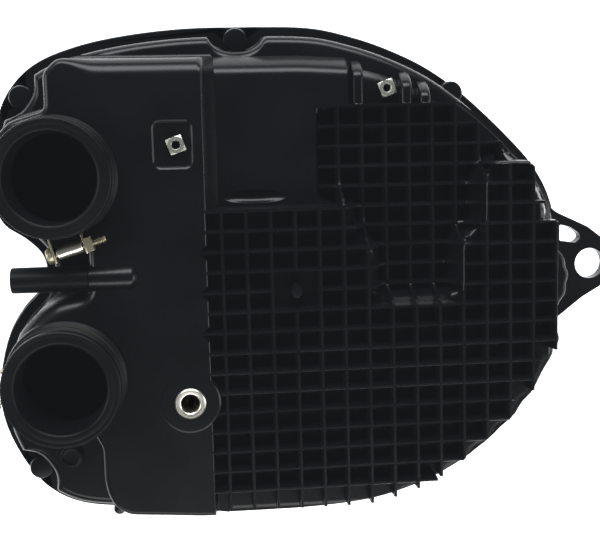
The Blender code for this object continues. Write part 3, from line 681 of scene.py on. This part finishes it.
def nipple_parts():
    """Round-nosed bulge in the face, and the nipple that comes out of its open end."""
    length = BULGE_X - NOTCH_X + 0.5
    bulge = [(0, 0), (4.0, 0.15), (5.6, 0.9), (6.6, 2.3), (7.0, 4.0), (7.0, length), (0, length)]
    nipple = [(0, 0), (4.2, 0), (4.2, 39), (3.9, 40), (0, 40)]
    return [turned("nipple bulge", bulge, (BULGE_X, NIPPLE_Y, NIPPLE_Z), (-1, 0, 0), 56),
            turned("nipple", nipple, (NIPPLE_ROOT_X, NIPPLE_Y, NIPPLE_Z), (-1, 0, 0), 40)]


def make_case():
    case = combine(ribbed_back(), [envelope()], "INTERSECT")
    case = join(case_base(), case, *duct_bases(), mount_ring())
    case = join(case, *nipple_parts(), *bosses(), ear_piece(), ear_wall())
    post = [(0, 58), (3.0, 58), (3.0, 78.7), (2.6, 79.6), (1.6, 80), (0, 80)]
    peg = [(0, 74), (2.9, 74), (2.9, 81), (2.5, 81.8), (1.6, 82), (0, 82)]
    case = join(case, turned("side post", post, SIDE_POST, segments=36),
                turned("oval peg", peg, (rib_x(PEG_COLUMN), PEG_Y), segments=36, squash=1.35))
    case = cut(case, *case_hollows())
    duct_hollow = [(0, 43), (27, 43), (27, 81), (0, 81)]
    case = cut(case, *(turned(f"duct hollow {y:.0f}", duct_hollow, (DUCT_X, y), segments=96)
                       for y in DUCT_YS))
    tube = [(MOUNT_BORE_R, 41), (11, 41), (11, 83.0), (MOUNT_BORE_R, 83.0)]
    case = join(case, turned("mount tube", tube, MOUNT, segments=72))
    return cut(case, *case_bores(), nut_pocket(), face_dent(), flange_notches())


def case_hollows():
    """The case's open inside: the main hollow and the higher ones under its raised parts."""
    inset = RIM_INSET + WALL
    main = loft("hollow", [(rim_inset(inset, SCALLOP), PARTING_Z - 1),
                           (rim_inset(inset, SCALLOP), LEDGE_Z - WALL - 2.5),
                           (rim_inset(inset + 2.5, SCALLOP), LEDGE_Z - WALL)])
    left = prism("left hollow", LEFT_HOLLOW, PARTING_Z + 5, FACE_Z - WALL - 0.6)
    grid = prism("grid hollow", GRID_HOLLOW, PARTING_Z + 6, FACE_Z - RIB_HEIGHT - WALL)
    box = prism("box hollow", rectangle(-25.5, 73.5, 47, 67), PARTING_Z + 7, RECESS_Z - WALL - 1.7)
    return main, left, grid, box


def hole(name, radius, low, high, centre, segments):
    """Upright cylinder to cut a hole with."""
    return turned(name, [(0, low), (radius, low), (radius, high), (0, high)], centre,
                  segments=segments)


def case_bores():
    made = [hole(f"duct bore {y:.0f}", DUCT_BORE_R, 59, 96, (DUCT_X, y), 112) for y in DUCT_YS]
    made.append(hole("mount bore", MOUNT_BORE_R, 35, 85, MOUNT, 64))
    made.append(turned("nipple bore", [(0, 0), (2.8, 0), (2.8, 45), (0, 45)],
                       (NIPPLE_ROOT_X, NIPPLE_Y, NIPPLE_Z), (-1, 0, 0), 32))
    made.append(hole("ear hole", EAR_HOLE_R, 33, 44, EAR_HOLE, 64))
    made.append(prism("ear window", outline_of(EAR_WINDOW, 0.6, 0.7), 33, 44))
    made.append(hole("drain hole", 4.5, 44, 61, DRAIN, 40))
    for number, (x, y, _) in enumerate(COVER_SCREWS):
        made.append(hole(f"screw hole {number}", SCREW_HOLE_R, 34, 46.5, (x, y), 24))
    return made


def nut_pocket():
    """Square pocket with a rounded foot and a bevelled mouth."""
    outline = rectangle(-71.5, 68.35, 17.8, 22.1, 3.2)
    inward = normals_in(outline)
    steps = ((0.6, -1.6), (0.25, -1.45), (0.0, -1.0), (-0.2, -0.5), (-0.9, -0.12), (-1.3, 0.2),
             (-1.3, 4.0))
    return loft("nut pocket", [(outline + inward * shift, FACE_Z + up) for shift, up in steps])


def face_dent():
    """Shallow oval dent in the smooth part of the recess."""
    profile = [(0, -1.9), (6, -1.75), (10, -1.35), (13.4, -0.6), (15.2, -0.2), (16.2, -0.05),
               (17.5, 0.3), (0, 0.3)]
    return turned("dent", profile, (*DENT, RECESS_Z), segments=72, squash=0.215)


def flange_notches():
    """Wedges beside the bosses that show, where the flange turns in and the cover rim doesn't."""
    points, faces = [], []
    for x, y, degrees in COVER_SCREWS[:SHOWN_BOSSES]:
        out = np.array((math.cos(math.radians(degrees)), math.sin(math.radians(degrees))))
        side = np.array((-out[1], out[0]))
        for sign in (-1, 1):
            corners = [(x, y) + side * sign * aside + out * outward
                       for aside, outward in ((5.8, 1.0), (6.2, 12.0), (17.0, 12.0), (14.0, 7.0))]
            if sign > 0:
                corners.reverse()
            start = len(points)
            points += [(*corner, z) for z in (PARTING_Z + 2, FLANGE_TOP_Z + 2)
                       for corner in corners]
            faces += [tuple(start + k for k in ends) for ends in ((3, 2, 1, 0), (4, 5, 6, 7))]
            faces += [(start + k, start + (k + 1) % 4, start + 4 + (k + 1) % 4, start + 4 + k)
                      for k in range(4)]
    return new_object("flange notches", points, faces)


# ---------------------------------------------------------------- cover, boots, small pieces

def make_cover():
    """Dished cover with a pillar and a countersunk hole for each screw, and the intake slot."""
    rings = []
    for a in np.linspace(0, math.pi / 2, 7):
        rings.append((rim_inset(6.5 * (1 - math.sin(a))), 9.0 * (1 - math.cos(a))))
    rings += [(rim_inset(0.0), COVER_RIM_Z - 0.9), (rim_inset(0.25), COVER_RIM_Z - 0.25),
              (rim_inset(0.9), COVER_RIM_Z)]
    cover = loft("cover_shell", rings)
    mouth = rim_inset(6.5, 11.0)
    cut(cover, loft("cover hollow", [(rim_inset(7.0), WALL), (rim_inset(2.8), 10),
                                     (rim_inset(2.8), 28), (mouth, 29), (mouth, 34)]))
    pillar = [(0, 1), (BOSS_R, 1), (BOSS_R, COVER_RIM_Z), (0, COVER_RIM_Z)]
    seat = [(0, -1), (4.4, -1), (4.4, 5), (SCREW_HOLE_R, 5), (SCREW_HOLE_R, 34), (0, 34)]
    join(cover, *(turned(f"pillar {n}", pillar, (x, y), segments=40)
                  for n, (x, y, _) in enumerate(COVER_SCREWS)))
    slot = prism("intake slot", rectangle(-22, -126.5, 60, 17), 10.5, 25.5)
    seats = [turned(f"seat {n}", seat, (x, y), segments=32)
             for n, (x, y, _) in enumerate(COVER_SCREWS)]
    cut(cover, *seats, slot)
    return cover


def make_boot(name, y):
    """Rubber boot: foot, seat for the band, retaining bead, waist and rounded rim."""
    profile = [
        (24.8, 84.3), (29.6, 84.3), (30.0, 84.7), (30.0, 86.1), (29.5, 86.6), (28.3, 87.2),
        (27.3, 88.2), (27.0, 88.8), (27.0, 95.2), (28.7, 95.2), (29.1, 95.6), (29.1, 96.4),
        (28.6, 97.0), (26.9, 97.6), (26.0, 98.4), (26.0, 99.3), (27.0, 100.5), (28.1, 101.4),
        (28.4, 102.2), (28.4, 104.7), (28.2, 105.4), (27.7, 105.85), (27.0, DUCT_TOP_Z),
        (26.2, 105.75), (25.6, 105.75), (24.9, DUCT_TOP_Z), (23.4, DUCT_TOP_Z), (22.5, 105.8),
        (21.8, 105.3), (DUCT_BORE_R, 104.6), (DUCT_BORE_R, 95.3), (24.8, 95.3),
    ]
    return turned(name, profile, (DUCT_X, y), segments=128)


def clamp_frame(duct_y, degrees, shift):
    """Directions out of the duct and along the screw, the duct's centre and the screw's middle."""
    out = np.array((math.cos(math.radians(degrees)), math.sin(math.radians(degrees)), 0))
    along = np.array((-out[1], out[0], 0))
    centre = np.array((DUCT_X, duct_y, CLAMP_Z))
    return out, along, centre, centre + out * SCREW_OFFSET + along * shift


def make_band(side, duct_y, degrees, shift):
    """Clamp band whose two ends turn outward into tabs with the screw's holes."""
    out, along, centre, axis_at = clamp_frame(duct_y, degrees, shift)
    start = math.asin((TAB_SPREAD + shift) / BAND_R)
    end = 2 * math.pi - math.asin((TAB_SPREAD - shift) / BAND_R)
    path = np.array([centre + BAND_R * (out * math.cos(a) + along * math.sin(a))
                     for a in np.linspace(start, end, 120)])
    tab = BAND_R + TAB_REACH
    first_at, last_at = (float(np.dot(path[k] - centre, out)) for k in (0, -1))
    first = [path[0] + out * t for t in np.linspace(tab - first_at, 0.9, 6)]
    last = [path[-1] + out * t for t in np.linspace(0.9, tab - last_at, 6)]
    path = np.vstack([first, path[1:-1], last])
    ahead = np.gradient(path, axis=0)
    ahead /= np.linalg.norm(ahead, axis=1, keepdims=True)
    away = np.stack([ahead[:, 1], -ahead[:, 0], 0 * ahead[:, 0]], 1)
    high = np.array((0, 0, 1.0))
    points, faces = [], []
    half = np.full(len(path), 2.5)
    half[:6] = (2.9, 3.5, 3.5, 3.5, 3.3, 2.8)
    half[-6:] = half[:6][::-1]
    for inner, direction, h in zip(path, away, half):
        outer = inner + direction * BAND_THICKNESS
        points += [inner - high * h, outer - high * h, outer + high * h, inner + high * h]
    for k in range(len(path) - 1):
        for i in range(4):
            j = (i + 1) % 4
            faces.append((4 * k + i, 4 * k + 4 + i, 4 * k + 4 + j, 4 * k + j))
    faces += [(0, 1, 2, 3), tuple(4 * (len(path) - 1) + k for k in (3, 2, 1, 0))]
    band = new_object(f"clamp_band_{side}_strip", points, faces)
    flip_if_inside_out(band)
    holes = [(0, -12), (2.2, -12), (2.2, 12), (0, 12)]
    cut(band, turned("tab holes", holes, axis_at, tuple(along), 32))
    return bevel(band, 0.22, 2)


def flip_if_inside_out(obj):
    """Turns a closed mesh's faces outward, by the sign of its volume."""
    volume = 0.0
    mesh = obj.data
    mesh.calc_loop_triangles()
    for triangle in mesh.loop_triangles:
        a, b, c = (mesh.vertices[k].co for k in triangle.vertices)
        volume += a.dot(b.cross(c))
    if volume < 0:
        mesh.flip_normals()


def bevel(obj, width, segments):
    modifier = obj.modifiers.new("edge", "BEVEL")
    modifier.width = width * MM
    modifier.segments = segments
    modifier.limit_method = "ANGLE"
    modifier.angle_limit = math.radians(30.0)
    return obj


def make_screw(side, duct_y, degrees, shift):
    """Slotted pan head, plain neck and threaded end with a thread that shows past the nut."""
    out, along, _, axis_at = clamp_frame(duct_y, degrees, shift)
    shank = SCREW_SHANK_R
    profile = [(0, -11.6), (2.9, -11.5), (3.7, -11.0), (4.0, -10.2), (4.0, -8.5), (3.8, -8.2),
               (shank, -8.2), (shank, 6.0)]
    z = 6.0
    while z < 16.6:
        profile += [(shank, z + 0.1), (shank - 0.35, z + 0.4), (shank, z + 0.7)]
        z += THREAD_PITCH
    profile += [(1.7, 17.2), (1.2, 17.8), (0, 17.8)]
    screw = turned(f"clamp_screw_{side}_turned", profile, axis_at, tuple(along), 40)
    middle = axis_at - along * 11.6
    corners = [middle + along * a + out * b for a, b in ((-1, -5), (1.1, -5), (1.1, 5), (-1, 5))]
    slot = prism("slot", [corner[:2] for corner in corners], CLAMP_Z - 0.5, CLAMP_Z + 0.5)
    flip_if_inside_out(slot)
    return cut(screw, slot)


def make_sleeve(side, duct_y, degrees, shift):
    _, along, _, axis_at = clamp_frame(duct_y, degrees, shift)
    profile = [(2.2, -6.0), (2.5, -6.2), (2.9, -6.2), (3.1, -5.9), (3.1, 5.9), (2.9, 6.2),
               (2.5, 6.2), (2.2, 6.0)]
    return turned(f"clamp_sleeve_{side}_tube", profile, axis_at, tuple(along), 48)


def make_clamp_nut(side, duct_y, degrees, shift):
    out, along, _, axis_at = clamp_frame(duct_y, degrees, shift)
    at = axis_at + along * 9.8
    half, thick = 3.5, 1.6
    corners = [(at + along * a * thick + out * b * half)[:2]
               for a, b in ((-1, -1), (1, -1), (1, 1), (-1, 1))]
    nut = prism(f"clamp_nut_{side}_block", corners, CLAMP_Z - half, CLAMP_Z + half)
    flip_if_inside_out(nut)
    cut(nut, turned("bore", [(0, -3), (2.1, -3), (2.1, 3), (0, 3)], at, tuple(along), 32))
    return bevel(nut, 0.35, 3)


def make_square_nut(name, x, y, low):
    """Square nut with a threaded hole and corners chamfered to a circle."""
    a = math.radians(20)
    turn_by = np.array(((math.cos(a), -math.sin(a)), (math.sin(a), math.cos(a))))
    corners = rectangle(0, 0, 8, 8, 0.4, 3) @ turn_by.T + (x, y)
    nut = prism(name, corners, low, low + 3.2)
    dome = [(0, low - 1), (7, low - 1), (7, low + 1.9), (3.9, low + 3.25), (0, low + 3.25)]
    combine(nut, [turned("dome", dome, (x, y), segments=64)], "INTERSECT")
    bore = [(0, low - 1), (2.1, low - 1)]
    z = low
    while z < low + 3.0:
        bore += [(2.1, z + 0.1), (2.45, z + 0.35), (2.1, z + 0.6)]
        z += THREAD_PITCH
    bore += [(2.1, low + 2.95), (2.8, low + 3.5), (2.8, low + 4), (0, low + 4)]
    return cut(nut, turned("bore", bore, (x, y), segments=40))


def make_hose():
    length = NOTCH_X - 0.9 - HOSE_END_X
    return turned("breather_hose_tube",
                  [(4.5, 0.5), (4.9, 0.1), (5.6, 0), (6.1, 0.2), (6.3, 0.8), (6.3, length - 0.8),
                   (6.1, length - 0.2), (5.6, length), (4.9, length - 0.1), (4.5, length - 0.5)],
                  (HOSE_END_X, NIPPLE_Y, NIPPLE_Z), (1, 0, 0), 72)


def make_collar():
    return turned("mount_collar_turned",
                  [(COLLAR_BORE_R, 50.6), (5.2, 50.0), (7.6, 50.0), (COLLAR_R, 50.5),
                   (COLLAR_R, 84.3), (7.8, 84.9), (7.2, 85.3), (5.5, 85.3), (5.0, 85.1),
                   (COLLAR_BORE_R, 84.7)],
                  MOUNT, segments=80)


def make_plug():
    return turned("drain_plug_cap",
                  [(0, 53.0), (4.2, 53.0), (4.2, 59.3), (6.0, 59.3), (6.0, 60.3), (5.8, 60.9),
                   (5.3, 61.2), (4.6, 61.2), (4.2, 60.9), (3.4, 60.75), (0, 60.7)],
                  DRAIN, segments=56)


# ---------------------------------------------------------------- materials

def material(name, colour, roughness, metallic=0.0, grain=0.0, grain_scale=900.0, blotch=0.06,
             blotch_colour=None, specular=0.5, stray_light_glow=0.0):
    """Principled surface with a fine grain bump and slow changes of tone and gloss.

    The stray light glow is painted light: a faint even emission that paints on a black surface the
    grey that stray light leaves.
    """
    made = bpy.data.materials.new(name)
    made.use_nodes = True
    tree = made.node_tree
    shader = tree.nodes["Principled BSDF"]
    shader.inputs["Metallic"].default_value = metallic
    shader.inputs["Specular IOR Level"].default_value = specular
    # Painted light: a pale blue emission that stands in for stray light on the surface.
    shader.inputs["Emission Color"].default_value = (0.86, 0.95, 1.08, 1)
    shader.inputs["Emission Strength"].default_value = stray_light_glow
    position = tree.nodes.new("ShaderNodeTexCoord")
    slow = tree.nodes.new("ShaderNodeTexNoise")
    slow.inputs["Scale"].default_value = 38.0
    slow.inputs["Detail"].default_value = 5.0
    fine = tree.nodes.new("ShaderNodeTexNoise")
    fine.inputs["Scale"].default_value = grain_scale
    fine.inputs["Detail"].default_value = 3.0
    tree.links.new(position.outputs["Object"], slow.inputs["Vector"])
    tree.links.new(position.outputs["Object"], fine.inputs["Vector"])
    tone = tree.nodes.new("ShaderNodeMix")
    tone.data_type = "RGBA"
    tone.inputs[6].default_value = (*colour, 1)
    tone.inputs[7].default_value = (*(blotch_colour or [c * 1.6 for c in colour]), 1)
    spread = tree.nodes.new("ShaderNodeMapRange")
    spread.inputs["From Min"].default_value = 0.35
    spread.inputs["From Max"].default_value = 0.75
    tree.links.new(slow.outputs["Fac"], spread.inputs["Value"])
    tree.links.new(spread.outputs["Result"], tone.inputs[0])
    tree.links.new(tone.outputs[2], shader.inputs["Base Color"])
    gloss = tree.nodes.new("ShaderNodeMapRange")
    gloss.inputs["To Min"].default_value = roughness - blotch
    gloss.inputs["To Max"].default_value = roughness + blotch
    tree.links.new(slow.outputs["Fac"], gloss.inputs["Value"])
    tree.links.new(gloss.outputs["Result"], shader.inputs["Roughness"])
    if grain:
        bump = tree.nodes.new("ShaderNodeBump")
        bump.inputs["Strength"].default_value = grain
        bump.inputs["Distance"].default_value = 0.0002
        tree.links.new(fine.outputs["Fac"], bump.inputs["Height"])
        tree.links.new(bump.outputs["Normal"], shader.inputs["Normal"])
    return made


MATERIALS = {
    # The glow given to black plastic and black rubber is painted light, for stray light on them.
    "black_plastic": material("black plastic", (0.0012, 0.0012, 0.0014), 0.275, grain=0.1,
                              blotch=0.035, specular=0.14, stray_light_glow=0.0074),
    "black_rubber": material("black rubber", (0.0012, 0.0012, 0.0013), 0.4, grain=0.25,
                             grain_scale=1500.0, specular=0.06, stray_light_glow=0.008),
    "zinc_plate": material("zinc plate", (0.3, 0.275, 0.19), 0.42, 1.0, grain=0.12,
                           blotch_colour=(0.24, 0.22, 0.17)),
    "bright_zinc": material("bright zinc", (0.74, 0.73, 0.68), 0.3, 1.0, grain=0.06,
                            blotch_colour=(0.6, 0.58, 0.5)),
    "steel": material("steel", (0.26, 0.26, 0.235), 0.45, 1.0, grain=0.2,
                      blotch_colour=(0.17, 0.17, 0.15)),
    "filter_paper": material("filter paper", (0.62, 0.47, 0.26), 0.9, grain=0.4),
    "wire_screen": material("wire screen", (0.45, 0.45, 0.46), 0.4, 1.0, grain=0.1),
}


def paint(obj, name):
    """Gives a fine piece its look."""
    obj.data.materials.clear()
    obj.data.materials.append(MATERIALS[name])


def place(obj, body, node, look, angle=32.0):
    """Shades and paints a fine piece, hangs it on the body it rides on and hides the CAD node it
    stands for.
    """
    soften(obj, angle)
    paint(obj, look)
    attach(obj, body)
    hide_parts(node)


# ---------------------------------------------------------------- building the object

case = make_case()
case.name = "case_shell"
place(case, "case", "case", "black_plastic")
place(make_cover(), "cover", "cover", "black_plastic")
for side, y, degrees, shift in CLAMPS:
    body = f"boot_{side}"
    place(make_boot(f"boot_{side}_rubber", y), body, f"duct_boot_{side}", "black_rubber")
    place(make_band(side, y, degrees, shift), body, f"clamp_band_{side}", "zinc_plate")
    place(make_sleeve(side, y, degrees, shift), body, f"clamp_sleeve_{side}", "bright_zinc")
    place(make_clamp_nut(side, y, degrees, shift), body, f"clamp_nut_{side}", "zinc_plate")
    place(make_screw(side, y, degrees, shift), f"screw_{side}", f"clamp_screw_{side}", "zinc_plate")
place(make_square_nut("square_nut_left_fine", -69.9, 68.1, FACE_Z - 1.6 + GAP), "case",
      "square_nut_left", "steel", 20.0)
place(make_square_nut("square_nut_top_fine", 38.6, 94.8, SHOULDER_Z + GAP), "case",
      "square_nut_top", "steel", 20.0)
place(make_hose(), "hose", "breather_hose", "black_rubber")
place(make_collar(), "case", "mount_collar", "bright_zinc")
place(make_plug(), "drain", "drain_plug", "black_rubber")

# CAD nodes that keep their own shape.
KEPT = {
    "cover_seal": "black_rubber", "intake_snorkel": "black_rubber",
    "divider_plate": "black_plastic", "element_frame": "black_rubber",
    "element_media": "filter_paper", "element_screen": "wire_screen",
}
KEPT.update({f"cover_screw_{n}": "steel" for n in range(1, 8)})
KEPT.update({f"divider_screw_{n}": "steel" for n in range(1, 5)})
for name, slot_name in KEPT.items():
    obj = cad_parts[name]
    for slot in obj.material_slots:
        slot.material = MATERIALS[slot_name]
    if not obj.material_slots:
        obj.data.materials.append(MATERIALS[slot_name])


# ---------------------------------------------------------------- floor, light, camera

def make_floor():
    """Pale floor just below the cover, large enough to fill the view from above."""
    far, low = 20000, -0.4
    corners = [(-far, -far, low), (far, -far, low), (far, far, low), (-far, far, low)]
    floor = new_object("floor", corners, [(0, 1, 2, 3)])
    surface = bpy.data.materials.new("pale floor")
    surface.use_nodes = True
    shader = surface.node_tree.nodes["Principled BSDF"]
    shader.inputs["Base Color"].default_value = (0.9, 0.9, 0.9, 1)
    shader.inputs["Roughness"].default_value = 0.9
    shader.inputs["Specular IOR Level"].default_value = 0.1
    shader.inputs["Emission Color"].default_value = (1, 1, 1, 1)
    shader.inputs["Emission Strength"].default_value = 0.6
    floor.data.materials.append(surface)


def area_light(name, place_at, aim, size, power, colour=(1, 1, 1)):
    data = bpy.data.lights.new(name, "AREA")
    data.shape = "RECTANGLE"
    data.size, data.size_y = size
    data.energy = power
    data.color = colour
    lamp = bpy.data.objects.new(name, data)
    lamp.location = place_at
    lamp.rotation_euler = (Vector(aim) - Vector(place_at)).to_track_quat("-Z", "Y").to_euler()
    bpy.context.scene.collection.objects.link(lamp)


def make_light():
    """Soft lights from above the picture, from each side and from below it, and a dim sky."""
    middle = (0, 0, 0.05)
    area_light("key", (-0.1, 1.25, 0.95), middle, (1.6, 0.7), 60.0, (0.93, 0.97, 1.0))
    area_light("left", (-1.25, 0.1, 0.75), middle, (0.8, 0.8), 16.0)
    area_light("right", (1.3, -0.2, 0.8), middle, (0.8, 0.8), 16.0)
    area_light("low", (0.1, -0.95, 1.1), middle, (1.4, 0.5), 20.0)
    world = bpy.data.worlds.new("studio")
    world.use_nodes = True
    background = world.node_tree.nodes["Background"]
    background.inputs["Color"].default_value = (0.9, 0.95, 1.0, 1)
    background.inputs["Strength"].default_value = 0.07
    bpy.context.scene.world = world


def make_camera():
    data = bpy.data.cameras.new("camera")
    data.lens = 60.0
    data.sensor_width = 36.0
    camera = bpy.data.objects.new("camera", data)
    camera.location = (-0.060355, 0.064915, 0.577524)
    camera.rotation_euler = [math.radians(a) for a in (-6.78202, -5.91094, -1.41253)]
    bpy.context.scene.collection.objects.link(camera)
    bpy.context.scene.camera = camera


make_floor()
make_light()
make_camera()
bpy.context.scene.view_settings.view_transform = "Standard"
